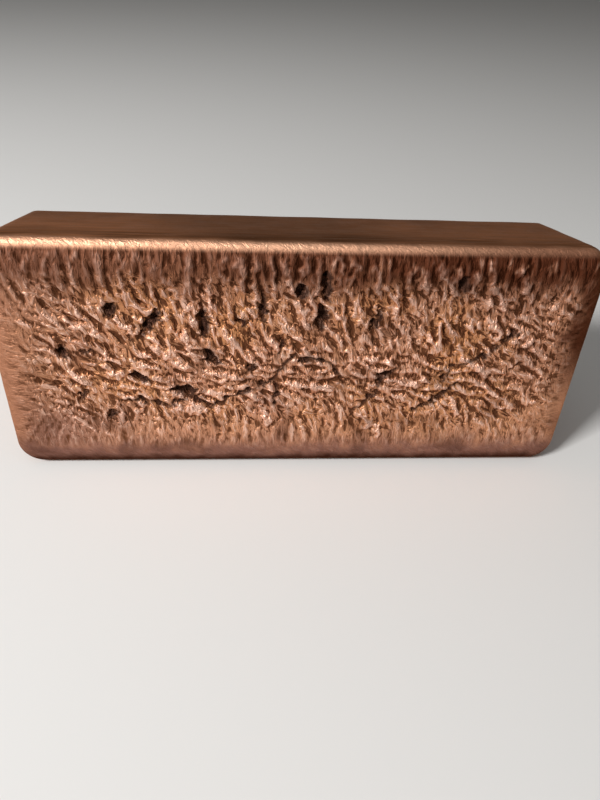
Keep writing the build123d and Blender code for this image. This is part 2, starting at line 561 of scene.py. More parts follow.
    def slant(self) -> np.ndarray:
        """Direction of the crumpled skin's folds: steep above and below, nearly level in the middle.

        Returns:
            The direction at each raster point, in radians.
        """
        x, y = self.raster.x, self.raster.y
        high, low = ease(-2.0, 9.0, y), fade(-15.0, -8.0, y)
        slant = self.middle_slant - self.upper_turn * high - self.lower_turn * low
        slant += (self.end_slant - slant) * ease(40.0, 60.0, np.abs(x))
        return slant + 0.55 * self.noise(3, 6.0) + 0.45 * self.noise(4, 2.4)

    def ragged(self, first: int) -> tuple[np.ndarray, np.ndarray]:
        """The raster's places, shifted to and fro, which makes the ridges, pits and cracks ragged.

        Args:
            first: Number of the first of the four noises that shift them.

        Returns:
            The shifted places along and across the face.
        """
        x = self.raster.x + 0.8 * self.noise(first, 1.8) + 0.5 * self.noise(first + 1, 0.9)
        y = self.raster.y + 0.8 * self.noise(first + 2, 1.8) + 0.5 * self.noise(first + 3, 0.9)
        return x, y

    def seen_from(self, mark: Mark, x: np.ndarray, y: np.ndarray) -> tuple[np.ndarray, np.ndarray]:
        """Places as seen from a mark.

        Args:
            mark: The ridge or pit.
            x: Along the face.
            y: Across the face.

        Returns:
            The way along the mark and the way beside it, in half lengths and half widths of the mark.
        """
        half_length, half_width = self.mould.half_size(self.mould.shoulder_width)
        turn = math.radians(mark.turn)
        away_x, away_y = x - mark.along * half_length, y - mark.across * half_width
        onward = (away_x * math.cos(turn) + away_y * math.sin(turn)) / (mark.length / 2)
        beside = (away_y * math.cos(turn) - away_x * math.sin(turn)) / (mark.width / 2)
        return onward, beside

    def ridge_share(self) -> np.ndarray:
        """Height of the columns and folds as a share of a full ridge's height.

        Returns:
            The share at each raster point.
        """
        x, y = self.ragged(50)
        x = x + 1.2 * self.noise(54, 4.0)
        share = np.zeros_like(x)
        for mark in self.columns + self.folds:
            onward, beside = self.seen_from(mark, x, y)
            crest = np.interp(np.abs(onward), self.crest_steps, self.crest_heights)
            share = np.maximum(share, crest - np.abs(beside))
        return share

    def pit_share(self, crinkles: np.ndarray) -> np.ndarray:
        """Depth of the pits as a share of a full pit's depth.

        Args:
            crinkles: Crinkles of the skin, with a spread of 1, which jut into the pits.

        Returns:
            The share at each raster point.
        """
        x, y = self.ragged(30)
        share = np.zeros_like(x)
        for mark in self.pits:
            share = np.maximum(share, 1.0 - 0.6 * np.hypot(*self.seen_from(mark, x, y)))
        return ease(*self.pit_edge, share + 0.22 * self.noise(34, 1.3) - 0.04 * crinkles)

    def crack_share(self) -> np.ndarray:
        """Depth of the cracks as a share of a full crack's depth.

        Returns:
            The share at each raster point.
        """
        x, y = self.ragged(40)
        share = np.zeros_like(x)
        for points in self.cracks:
            for (start_x, start_y), (stop_x, stop_y) in zip(points, points[1:]):
                run_x, run_y = stop_x - start_x, stop_y - start_y
                onward = ((x - start_x) * run_x + (y - start_y) * run_y) / (run_x**2 + run_y**2)
                onward = np.clip(onward, 0.0, 1.0)
                away = np.hypot(x - start_x - onward * run_x, y - start_y - onward * run_y)
                share = np.maximum(share, fade(*self.crack_edge, away))
        return share * ease(-0.9, -0.2, self.noise(44, 2.5))

    def vein_share(self, growth: np.ndarray) -> np.ndarray:
        """Height of the thin veins, evenly wide and broken off here and there, as a share of a full vein's.

        Args:
            growth: Direction in which the crystals grew, which the veins follow loosely.

        Returns:
            The share at each raster point.
        """
        strands = self.drawn(Strand.VEIN, growth + 0.5 * self.noise(12, 3.0))
        steepness = np.hypot(*np.gradient(strands, self.raster.step))
        away = np.abs(strands) / np.maximum(steepness, 0.6)
        return fade(*self.vein_edge, away) * ease(0.0, 0.4, self.noise(13, 5.0))

    def skin(self) -> tuple[np.ndarray, dict[str, np.ndarray]]:
        """Works out the skin's height over the smooth face, with the masks that its colour reads, painted
        shade and highlight among them.

        Returns:
            The height at each raster point, and its masks by name.
        """
        x, y, zones = self.raster.x, self.raster.y, self.zones()
        awake, middle = zones.awake, zones.middle
        growth = self.growth()
        swirl = self.slant() + 0.6 * self.noise(9, 2.6)
        columns, threads = self.drawn(Strand.COLUMN, growth), self.drawn(Strand.THREAD, growth)
        ledges, crinkles = self.drawn(Strand.LEDGE, swirl), self.drawn(Strand.CRINKLE, swirl)
        veins = self.vein_share(growth) * zones.upper * awake
        slots = ease(0.8, 1.5, -columns) * ease(0.0, 0.45, self.noise(6, 4.5)) * middle
        lively = 0.5 + 0.5 * ease(-0.4, 0.5, self.noise(7, 8.0))
        distinct = 0.6 + 0.4 * np.maximum(middle, ease(-45.0, -10.0, x))
        ridges = awake * self.ridge_share() * distinct

        height = self.ridge_height * ridges**self.ridge_curve
        height += self.column_height * (zones.upper + 0.6 * zones.fringe) * awake * np.tanh(1.1 * columns)
        height += self.thread_height * awake * np.tanh(threads) + self.vein_height * veins
        crumple = self.ledge_height * np.tanh(1.3 * ledges) + self.crinkle_height * crinkles
        height += middle * lively * crumple
        height += self.swell_height * middle * self.noise(8, 8.0)
        pits, cracks = self.pit_share(crinkles), self.crack_share()
        height -= self.slot_depth * slots + self.pit_depth * pits + self.crack_depth * cracks
        lean_right, lean_down = self.crest_lean
        height = self.raster.read(height, x - lean_right * height, y + lean_down * height)
        height = self.raster.blur(height, self.softness)

        near, far = self.standing_out(height, 0.7), self.standing_out(height, 2.2)
        broad = self.standing_out(ridges, 3.0)
        # Crests that lose some oxide; the relief tone below also gives them a painted highlight.
        bare_and_highlight = np.maximum(0.5 * ease(0.72, 1.0, ridges), veins)
        bare_and_highlight *= 0.25 + 0.4 * ease(-30.0, 20.0, x)
        strands = middle * ease(0.6, 1.6, ledges)
        # Relief tone for the colour: painted shade in the hollows and painted highlight on the crests, ridges
        # and ledge tops, partly oxide in the hollows.
        relief = 0.5 + 0.75 * near + 0.4 * far + 0.2 * broad + 0.2 * bare_and_highlight + 0.12 * strands
        # Rubbed rim with a painted highlight that fades from the left to the right.
        worn_and_highlight = fade(1.4, 3.0, self.way_in(MouthEdge.UPPER)) * (1.0 - 0.85 * ease(-5.0, 65.0, x))
        return height, {
            "relief": np.clip(relief, 0.0, 1.0),
            # Mask for the painted shade in the pits, cracks and slots.
            "pit": np.maximum.reduce((pits, cracks, 0.3 * slots)),
            "awake": awake,
            "endwise": np.cos(growth) ** 2,
            "middle": middle,
            "worn_and_highlight": worn_and_highlight,
            **self.stains_and_shade(zones.ragged, bare_and_highlight),
        }

    def stains_and_shade(self, ragged: np.ndarray, bare_and_highlight: np.ndarray) -> dict[str, np.ndarray]:
        """Shares of the dark oxide with painted shade, and of the plum bloom on the face.

        Args:
            ragged: Shift that keeps the edges of the stains and the painted shade from running straight.
            bare_and_highlight: Share of the oxide that is rubbed off, on the crests.

        Returns:
            The stains and painted shade by name, each from 0 to 1.
        """
        x, y = self.raster.x, self.raster.y
        below, above, from_left, from_right = (self.way_in(edge) + ragged for edge in MouthEdge)
        # Dark band under the upper rim, darkest at the right: partly oxide, partly painted shade.
        under_rim = 0.8 * fade(6.0, 16.0, below) + 0.2 * fade(12.0, 30.0, below)
        reach_to_rim = 0.7 * ease(0.0, 60.0, x)
        under_rim *= reach_to_rim + (1.0 - reach_to_rim) * ease(1.2, 2.8, self.way_in(MouthEdge.UPPER))
        under_rim *= 0.8 + 0.2 * ease(-60.0, 45.0, x)
        # Dark right end: partly oxide, partly painted shadow.
        right_end = fade(3.0, 13.0, from_right) * ease(-14.0, 8.0, y)
        left_end = 0.4 * fade(4.0, 16.0, from_left)
        low_edge = fade(4.0, 13.0, above)
        left_part = 0.7 - 0.45 * ease(-20.0, -4.0, y)
        left_part *= fade(14.0, 42.0, from_left)
        left_part *= ease(0.0, 10.0, from_left)
        # Painted contact shadow along the low edge.
        contact_shadow = fade(1.5, 5.0, self.way_in(MouthEdge.LOWER) + 0.4 * ragged)
        patches = 0.35 * ease(0.05, 0.6, self.noise(60, 7.0))
        oxide_and_shade = np.maximum.reduce((under_rim, right_end, left_end, contact_shadow, patches))
        return {"oxide_and_shade": oxide_and_shade * (1.0 - 0.6 * bare_and_highlight), "bloom": np.maximum(low_edge, left_part)}

    def lift(self, x: np.ndarray, y: np.ndarray) -> tuple[np.ndarray, dict[str, np.ndarray]]:
        """Height of the skin over the smooth face, with its masks, at any places.

        Args:
            x: Along the face.
            y: Across the face.

        Returns:
            The height at each place, and its masks by name.
        """
        masks = {name: self.raster.read(values, x, y) for name, values in self.masks.items()}
        return self.raster.read(self.height, x, y), masks


@dataclass
class MouldSkin:
    """The skin that set against the mould's walls: lap lines round the mouth and a faint waviness."""

    mould: LoafMould
    lap_depth: float = 0.22
    lap_reach: float = 13.0
    lap_sway: float = 1.2
    wave_depth: float = 0.12
    sway_cells: Pair = (30.0, 9.0)  # round the mouth and down the wall, as all cells here
    broad_lap_cells: Pair = (26.0, 1.3)
    fine_lap_cells: Pair = (17.0, 0.7)
    wave_cells: Pair = (11.0, 8.0)
    middle_tone: float = 0.58
    end_reflection_tone: float = 0.42  # painted reflection, added towards the ends
    lap_tone: float = 0.6  # taken off in the laps
    seed: int = 23

    def noise(self, number: int, cells: Pair, way: np.ndarray, down: np.ndarray) -> np.ndarray:
        """One of the skin's noises, with a seed and cells of its own, round the mouth and down the wall."""
        return GradientNoise(self.seed * 100 + number).at(way / cells[0], down / cells[1])

    def hollow(self, x: np.ndarray, y: np.ndarray, z: np.ndarray) -> tuple[np.ndarray, np.ndarray]:
        """Depth of the skin's hollows below the smooth wall, and the tone of its laps, with a painted
        reflection towards the ends.

        Args:
            x: Along the casting.
            y: Across the casting.
            z: Level above the mould's floor.

        Returns:
            The depth at each point, never below 0, so that the casting rests on its high spots, and the tone
            at each point, darker in the laps than beside them and lighter towards the ends by a painted
            reflection.
        """
        way = self.mould.round_the_mouth(x, y)
        down = self.mould.wall_height - z
        swayed = down + self.lap_sway * self.noise(1, self.sway_cells, way, down)
        laps = np.abs(self.noise(2, self.broad_lap_cells, way, swayed))
        laps += 0.6 * np.abs(self.noise(3, self.fine_lap_cells, way, swayed))
        near_mouth = fade(1.0, self.lap_reach, down)
        waves = 0.5 + 0.5 * self.noise(4, self.wave_cells, way, down)
        depth = self.lap_depth * near_mouth * laps + self.wave_depth * waves
        # Painted reflection: the mould sides lighter towards the ends.
        end_reflection = self.end_reflection_tone * ease(15.0, 70.0, np.abs(x))
        tone = self.middle_tone + end_reflection - self.lap_tone * near_mouth * laps
        return depth, np.clip(tone, 0.0, 1.0)


@dataclass
class IngotCasting:
    """The ingot: a fine grid for the pour face, rings round the rim and walls, and a filled mould floor."""

    mould: LoafMould
    relief: PourRelief
    skin: MouldSkin
    cells_along: int = 132
    cells_across: int = 54
    finer: int = 3
    rim_rings: int = 7
    wall_rings: int = 32
    wall_crowding: float = 1.5  # power that draws the wall's rings together near the mouth
    base_edge_rings: int = 5
    facing_out: Pair = (0.1, 0.85)  # share of a normal out of the mould, over which the pour face begins
    facing_floor: Pair = (0.3, 0.9)
    facing_end: Pair = (0.3, 0.8)

    @property
    def rim_sweep(self) -> float:
        """Turn of the rim's round, from the shoulder to the wall, in radians."""
        return math.pi / 2 + self.mould.lean - self.mould.shoulder_slope

    @property
    def rim_reach(self) -> float:
        """Length that the rim's round takes from the shoulder and from the wall."""
        return self.mould.rim_radius * math.tan(self.rim_sweep / 2)

    @property
    def base_edge_reach(self) -> float:
        """Length that the base edge's round takes from the wall and from the mould floor's face."""
        return self.mould.base_edge_radius * math.tan((math.pi / 2 - self.mould.lean) / 2)

    @property
    def grid_inset(self) -> float:
        """Inset at which the rim's round runs out into the shoulder."""
        return self.rim_reach * math.cos(self.mould.shoulder_slope)

    def rim_profile(self) -> list[Pair]:
        """Rings down the rim's round.

        Returns:
            The inset and level of each ring.
        """
        slope, radius = self.mould.shoulder_slope, self.mould.rim_radius
        inset = self.grid_inset + radius * math.sin(slope)
        level = self.mould.wall_height + self.rim_reach * math.sin(slope) - radius * math.cos(slope)
        angles = [slope + self.rim_sweep * ring / self.rim_rings for ring in range(1, self.rim_rings + 1)]
        return [(inset - radius * math.sin(angle), level + radius * math.cos(angle)) for angle in angles]

    def wall_profile(self) -> list[Pair]:
        """Rings down the wall, closest together near the mouth.

        Returns:
            The inset and level of each ring.
        """
        upright = math.cos(self.mould.lean)
        top = self.mould.wall_height - self.rim_reach * upright
        low = self.base_edge_reach * upright
        shares = [(ring / self.wall_rings) ** self.wall_crowding for ring in range(1, self.wall_rings + 1)]
        levels = [top + (low - top) * share for share in shares]
        return [(self.mould.wall_inset(level), level) for level in levels]

    def base_edge_profile(self) -> list[Pair]:
        """Rings round the base edge.

        Returns:
            The inset and level of each ring.
        """
        radius, rings = self.mould.base_edge_radius, self.base_edge_rings
        inset = self.mould.wall_inset(0.0) + self.base_edge_reach
        start = math.pi / 2 + self.mould.lean
        angles = [start + (math.pi - start) * ring / rings for ring in range(1, rings + 1)]
        return [(inset - radius * math.sin(angle), radius + radius * math.cos(angle)) for angle in angles]

    def pour_grid(self, form: bmesh.types.BMesh) -> list[bmesh.types.BMEdge]:
        """Lays the fine grid of the pour face, with its corners rounded.

        Args:
            form: The mesh that is being built.

        Returns:
            The edges of the grid's rim.
        """
        columns, rows = self.cells_along * self.finer, self.cells_across * self.finer
        kept = form.verts.layers.int.new("kept")
        side = form.verts.layers.int.new("side")
        bmesh.ops.create_grid(form, x_segments=columns, y_segments=rows, size=1.0)
        half_length, half_width = self.mould.half_size(self.grid_inset)
        radius = self.mould.corner_radius - self.grid_inset
        share = np.array([vert.co[:2] for vert in form.verts])
        x, y = share[:, 0] * half_length, share[:, 1] * half_width
        past_x = np.clip((np.abs(x) - half_length + radius) / radius, 0.0, 1.0)
        past_y = np.clip((np.abs(y) - half_width + radius) / radius, 0.0, 1.0)
        x -= np.sign(x) * radius * past_x * (1.0 - np.sqrt(1.0 - past_y**2 / 2))
        y -= np.sign(y) * radius * past_y * (1.0 - np.sqrt(1.0 - past_x**2 / 2))
        z = self.mould.wall_height + self.mould.crown(self.mould.inset_of(x, y))
        for number, vert in enumerate(form.verts):
            column, row = number % (columns + 1), number // (columns + 1)
            vert[kept] = int(column % self.finer == 0 and row % self.finer == 0)
            vert[side] = int(row == rows) - int(row == 0)
            vert.co = x[number], y[number], z[number]
        return [edge for edge in form.edges if edge.is_boundary]

    def add_ring(
        self, form: bmesh.types.BMesh, edges: list[bmesh.types.BMEdge], step_in: float, level: float
    ) -> list[bmesh.types.BMEdge]:
        """Extrudes a ring of edges to the next inset and level.

        Args:
            form: The mesh that is being built.
            edges: The open ring so far.
            step_in: Change of inset from that ring to the next.
            level: Level of the next ring.

        Returns:
            The edges of the next ring.
        """
        half_length, half_width = self.mould.half_size(self.mould.corner_radius)
        grown = bmesh.ops.extrude_edge_only(form, edges=edges)["geom"]
        for vert in (part for part in grown if isinstance(part, bmesh.types.BMVert)):
            out = Vector((max(abs(vert.co.x) - half_length, 0.0), max(abs(vert.co.y) - half_width, 0.0)))
            out.normalize()
            vert.co.x -= math.copysign(out.x, vert.co.x) * step_in
            vert.co.y -= math.copysign(out.y, vert.co.y) * step_in
            vert.co.z = level
        return [part for part in grown if isinstance(part, bmesh.types.BMEdge)]

    def coarsen(self, form: bmesh.types.BMesh, edges: list[bmesh.types.BMEdge]) -> list[bmesh.types.BMEdge]:
        """Dissolves the open ring's spare vertices, so that the walls take fewer faces than the pour face.

        Args:
            form: The mesh that is being built.
            edges: The open ring.

        Returns:
            The edges of the ring that is left.
        """
        kept = form.verts.layers.int["kept"]
        spare = dict.fromkeys(vert for edge in edges for vert in edge.verts if not vert[kept])
        bmesh.ops.dissolve_verts(form, verts=list(spare))
        return [edge for edge in form.edges if edge.is_boundary]

    def form(self) -> bmesh.types.BMesh:
        """The closed casting with smooth faces, in the mould's frame.

        Returns:
            The mesh, which the caller frees.
        """
        form = bmesh.new()
        edges = self.pour_grid(form)
        inset = self.grid_inset
        rim, wall = self.rim_profile(), self.wall_profile()
        for number, (next_inset, level) in enumerate(rim + wall + self.base_edge_profile()):
            edges = self.add_ring(form, edges, next_inset - inset, level)
            inset = next_inset
            if number == len(rim):
                edges = self.coarsen(form, edges)
        side = form.verts.layers.int["side"]
        sides = [edge for edge in edges if abs(sum(vert[side] for vert in edge.verts)) == 2]
        bmesh.ops.grid_fill(form, edges=sides)
        bmesh.ops.recalc_face_normals(form, faces=form.faces)
        for face in form.faces:
            face.smooth = True
        return form

    def roughen(self, mesh: bpy.types.Mesh) -> None:
        """Moves the vertices by the skins' relief and keeps the masks for the finish.

        Args:
            mesh: The smooth casting.
        """
        count = len(mesh.vertices)
        place, outward = np.empty(count * 3), np.empty(count * 3)
        mesh.vertices.foreach_get("co", place)
        mesh.vertex_normals.foreach_get("vector", outward)
        place, outward = place.reshape(-1, 3), outward.reshape(-1, 3)
        x, y, z = place.T
        pour = ease(*self.facing_out, outward[:, 2])
        lift, masks = self.relief.lift(x, y)
        depth, lap_tone = self.skin.hollow(x, y, z)
        offset = pour * lift - (1.0 - pour) * depth
        place += outward * offset[:, None]
        mesh.vertices.foreach_set("co", place.ravel())
        masks = {name: values * pour for name, values in masks.items()}
        # The mould sides' tone, with the painted reflection towards the ends.
        masks["relief"] += lap_tone * (1.0 - pour)
        on_floor = ease(*self.facing_floor, -outward[:, 2])
        on_end = ease(*self.facing_end, np.abs(outward[:, 0]))
        on_wall = 0.25 + 0.35 * ease(5.0, 24.0, self.mould.wall_height - z)
        plain = np.maximum.reduce((on_floor, on_end, on_wall))
        for name, values in {**masks, "pour": pour, "plain": plain}.items():
            attribute = mesh.attributes.new(name, "FLOAT", "POINT")
            attribute.data.foreach_set("value", values.astype(np.float32))

    def build(self, lay: Matrix) -> bpy.types.Object:
        """Models the casting and lays it into the frame.

        Args:
            lay: Transform from the mould's frame in millimetres to the frame in metres.

        Returns:
            The casting's object, at the origin.
        """
        form = self.form()
        mesh = bpy.data.meshes.new("ingot_casting")
        form.to_mesh(mesh)
        form.free()
        for name in ("kept", "side"):
            mesh.attributes.remove(mesh.attributes[name])
        self.roughen(mesh)
        mesh.transform(lay)
        mesh.update()
        piece = bpy.data.objects.new("ingot_casting", mesh)
        bpy.context.scene.collection.objects.link(piece)
        return piece


class NodeSheet:
    """Adds shader nodes to a tree and links them."""

    MIX_INPUTS = (0, 6, 7)  # share, first colour and second colour of a Mix node
    MIX_RESULT = 2

    def __init__(self, tree: bpy.types.NodeTree) -> None:
        """Starts on a tree.

        Args:
            tree: The material's or world's node tree.
        """
        self.tree = tree

    def add(self, kind: str, **settings: object) -> bpy.types.Node:
        """Adds one node.

        Args:
            kind: The node's type.
            settings: Properties to set on it.

        Returns:
            The node.
        """
        node = self.tree.nodes.new(kind)
        for name, value in settings.items():
            setattr(node, name, value)
        return node

    def feed(self, target: bpy.types.NodeSocket, source: object) -> None:
        """Links a socket to a target, or sets a plain value on it.

        Args:
            target: The input socket.
            source: An output socket, a number or a colour.
        """
        if isinstance(source, bpy.types.NodeSocket):
            self.tree.links.new(source, target)
        elif isinstance(source, tuple) and target.type == "RGBA":
            target.default_value = (*source, 1.0)
        else:
            target.default_value = source

    def attribute(self, name: str) -> bpy.types.NodeSocket:
        """Value of one of the mesh's masks."""
        return self.add("ShaderNodeAttribute", attribute_name=name).outputs["Fac"]

    def spread(
        self, value: object, low: float, high: float, start: float = 0.0, stop: float = 1.0
    ) -> bpy.types.NodeSocket:
        """Maps a value smoothly from one range to another.

        Args:
            value: An output socket.
            low: Start of the value's range.
            high: End of the value's range.
            start: Result at the start of the range.
            stop: Result at its end.

        Returns:
            The mapped value.
        """
        node = self.add("ShaderNodeMapRange", interpolation_type="SMOOTHSTEP")
        names = ("Value", "From Min", "From Max", "To Min", "To Max")
        for name, source in zip(names, (value, low, high, start, stop)):
            self.feed(node.inputs[name], source)
        return node.outputs["Result"]

    def maths(self, kind: str, first: object, second: object) -> bpy.types.NodeSocket:
        """One sum on two values.

        Args:
            kind: The sum's kind.
            first: An output socket or a number.
            second: The same.

        Returns:
            The result.
        """
        node = self.add("ShaderNodeMath", operation=kind)
        self.feed(node.inputs[0], first)
        self.feed(node.inputs[1], second)
        return node.outputs[0]

    def blend(self, share: object, first: object, second: object, kind: str = "MIX") -> bpy.types.NodeSocket:
        """Mixes two colours.

        Args:
            share: Share of the second colour.
            first: An output socket or a colour.
            second: The same.
            kind: How the second colour goes over the first.

        Returns:
            The mixed colour.
        """
        node = self.add("ShaderNodeMix", data_type="RGBA", blend_type=kind)
        for number, source in zip(self.MIX_INPUTS, (share, first, second)):
            self.feed(node.inputs[number], source)
        return node.outputs[self.MIX_RESULT]

    def noise(
        self, place: object, scale: float, detail: float = 2.0, distortion: float = 0.0
    ) -> bpy.types.NodeSocket:
        """Noise over a place.

        Args:
            place: Output socket of the coordinates.
            scale: Cells for each unit of them.
            detail: Octaves of the noise.
            distortion: How far its cells are bent.

        Returns:
            The noise, from 0 to 1.
        """
        node = self.add("ShaderNodeTexNoise")
        self.feed(node.inputs["Vector"], place)
        for name, value in (("Scale", scale), ("Detail", detail), ("Distortion", distortion)):
            node.inputs[name].default_value = value
        return node.outputs["Fac"]


@dataclass(frozen=True)
class CastCopper:
    """As-cast copper: bright on the crests and dark in the hollows, partly oxide and partly painted highlight
    and painted shade, and oxidised brown on the mould sides.

    Cells are in millimetres along each axis, turns in degrees and patches in cells to the metre.
    """

    # crest: painted highlight on the crests, over brighter metal
    crest: Colour = (0.98, 0.63, 0.48)
    body: Colour = (0.67, 0.325, 0.19)
    gold: Colour = (0.76, 0.35, 0.155)
    # hollow: painted shade in the hollows, with some oxide
    hollow: Colour = (0.18, 0.067, 0.030)
    # pit: painted shade in the pits, cracks and slots
    pit: Colour = (0.070, 0.031, 0.020)
    bloom: Colour = (0.30, 0.145, 0.110)
    # oxide, with painted shade: a contact shadow along the low edge and shade under the rim and at the right
    # end
    oxide_and_shade: Colour = (0.19, 0.115, 0.088)
    # bright rubbed rim, with a painted highlight that fades to the right
    worn_and_highlight: Colour = (0.88, 0.50, 0.32)
    mould_light: Colour = (0.69, 0.285, 0.132)
    mould_dark: Colour = (0.10, 0.045, 0.023)
    edge_tint: Colour = (0.80, 0.52, 0.38)
    metallic: float = 0.8
    edge_gloss: float = 0.2
    roughness: Pair = (0.48, 0.58)
    mould_roughness: float = 0.72  # share of it on the mould sides
    oxide_roughness: float = 0.2  # added under the oxide and painted shade
    rough_patches: float = 220.0
    gold_patches: float = 45.0
    sheen_patches: float = 22.0
    mottle_patches: float = 160.0
    fibre_cells: Triple = (3.4, 1.0, 1.0)
    fibre_turns: Triple = (61.0, 28.0, 80.0)
    fibre_patches: Pair = (290.0, 330.0)
    fibre_detail: float = 1.4
    fibre_depth: float = 0.46  # in millimetres
    # painted shade and highlight that follow the fine wrinkles
    wrinkle_tone: float = 0.24
    upright_cells: Triple = (0.8, 3.0, 3.0)
    level_cells: Triple = (3.0, 3.0, 0.8)
    lap_cells: Triple = (18.0, 0.7, 18.0)
    lap_warp: float = 0.15
    lap_depth: float = 0.4  # share of the fibres' depth
    rim_cells: Triple = (2.2, 0.8, 0.8)
    rim_turn: float = 35.0

    def stretched(
        self,
        sheet: NodeSheet,
        place: object,
        cells: Triple,
        turn: float = 0.0,
        detail: float = 3.0,
        warp: float = 0.8,
    ) -> bpy.types.NodeSocket:
        """Noise whose cells have a size of their own along each axis.

        Args:
            sheet: The material's nodes.
            place: Object coordinates.
            cells: Size of a cell along each axis, in millimetres.
            turn: Turn of the cells about the axis that runs into the face, in degrees.
            detail: Octaves of the noise.
            warp: How far the cells are bent.

        Returns:
            The noise.
        """
        mapping = sheet.add("ShaderNodeMapping", vector_type="TEXTURE")
        sheet.feed(mapping.inputs["Vector"], place)
        mapping.inputs["Rotation"].default_value = (0.0, math.radians(turn), 0.0)
        mapping.inputs["Scale"].default_value = tuple(cell * MM for cell in cells)
        return sheet.noise(mapping.outputs["Vector"], 1.0, detail, warp)

    def fibres(self, sheet: NodeSheet, place: object) -> bpy.types.NodeSocket:
        """Fine fibres of the crumpled skin, which run one of three ways from patch to patch.

        Args:
            sheet: The material's nodes.
            place: Object coordinates.

        Returns:
            The fibres' height, from 0 to 1.
        """
        lines, *others = (
            self.stretched(sheet, place, self.fibre_cells, turn, self.fibre_detail)
            for turn in self.fibre_turns
        )
        for patch, other in zip(self.fibre_patches, others):
            share = sheet.spread(sheet.noise(place, patch), 0.47, 0.53)
            lines = sheet.blend(share, lines, other)
        return sheet.spread(lines, 0.28, 0.72)

    def wrinkles(self, sheet: NodeSheet, place: object) -> bpy.types.NodeSocket:
        """Fine relief of the pour face: fibres in its middle, threads round them and soft marks on the rim.

        Args:
            sheet: The material's nodes.
            place: Object coordinates.

        Returns:
            The relief's height, from 0 to 1.
        """
        upright = self.stretched(sheet, place, self.upright_cells)
        level = self.stretched(sheet, place, self.level_cells)
        threads = sheet.spread(sheet.blend(sheet.attribute("endwise"), upright, level), 0.34, 0.66)
        threads = sheet.spread(threads, 0.0, 1.0, 0.3, 0.7)
        calm = sheet.spread(sheet.attribute("middle"), 0.0, 0.7, 1.0, 0.0)
        wrinkles = sheet.blend(calm, self.fibres(sheet, place), threads)
        marks = self.stretched(sheet, place, self.rim_cells, self.rim_turn)
        marks = sheet.spread(marks, 0.3, 0.7, 0.38, 0.62)
        smooth = sheet.spread(sheet.attribute("awake"), 0.0, 0.8, 1.0, 0.0)
        return sheet.blend(smooth, wrinkles, marks)

    def laps(self, sheet: NodeSheet, place: object) -> bpy.types.NodeSocket:
        """Tone of the mould sides: lap lines along the walls, and a plain mottle on the other faces.

        Args:
            sheet: The material's nodes.
            place: Object coordinates.

        Returns:
            The tone, about 1 where it is lightest.
        """
        lines = self.stretched(sheet, place, self.lap_cells, warp=self.lap_warp)
        lines = sheet.spread(lines, 0.36, 0.64, 0.66, 1.04)
        mottle = sheet.spread(sheet.noise(place, self.mottle_patches, 4.0), 0.3, 0.7, 0.6, 1.0)
        return sheet.blend(sheet.attribute("plain"), lines, mottle)

    def dullness(self, sheet: NodeSheet, place: object, pour: object) -> bpy.types.NodeSocket:
        """Roughness of the metal, least on the mould sides and most under the oxide and painted shade.

        Args:
            sheet: The material's nodes.
            place: Object coordinates.
            pour: Share of the pour face.

        Returns:
            The roughness.
        """
        rough = sheet.spread(sheet.noise(place, self.rough_patches, 3.0), 0.3, 0.7, *self.roughness)
        rough = sheet.maths("MULTIPLY", rough, sheet.spread(pour, 0.0, 1.0, self.mould_roughness, 1.0))
        oxidised = sheet.maths("MULTIPLY", sheet.attribute("oxide_and_shade"), self.oxide_roughness)
        return sheet.maths("ADD", rough, oxidised)

    def pour_colour(self, sheet: NodeSheet, tone: object, place: object) -> bpy.types.NodeSocket:
        """Colour of the pour face, from painted shade in the hollows to painted highlight on the crests, with
        its stains.

        Args:
            sheet: The material's nodes.
            tone: Height of each point among its surroundings, which sets the painted shade and highlight.
            place: Object coordinates.

        Returns:
            The colour.
        """
        patches = sheet.spread(sheet.noise(place, self.gold_patches, 3.0), 0.40, 0.62)
        warm = sheet.maths("MULTIPLY", sheet.attribute("middle"), patches)
        body = sheet.blend(warm, self.body, self.gold)
        body = sheet.blend(sheet.attribute("bloom"), body, self.bloom)
        # painted shade in the hollows and painted highlight on the crests, partly oxide
        colour = sheet.blend(sheet.spread(tone, 0.22, 0.52), self.hollow, body)
        colour = sheet.blend(sheet.spread(tone, 0.50, 0.98), colour, self.crest)
        # oxide, with painted shade under the rim, at the right end and along the low edge
        colour = sheet.blend(sheet.attribute("oxide_and_shade"), colour, self.oxide_and_shade, "MULTIPLY")
        # painted shade in the pits, cracks and slots
        colour = sheet.blend(sheet.attribute("pit"), colour, self.pit)
        # rubbed rim with its painted highlight
        return sheet.blend(sheet.attribute("worn_and_highlight"), colour, self.worn_and_highlight)

    def material(self) -> bpy.types.Material:
        """Builds the node material.

        Returns:
            The material.
        """
        material = bpy.data.materials.new("cast_copper")
        material.use_nodes = True
        sheet = NodeSheet(material.node_tree)
        shader = material.node_tree.nodes["Principled BSDF"]
        place = sheet.add("ShaderNodeTexCoord").outputs["Object"]
        pour, relief = sheet.attribute("pour"), sheet.attribute("relief")
        wrinkles, laps = self.wrinkles(sheet, place), self.laps(sheet, place)

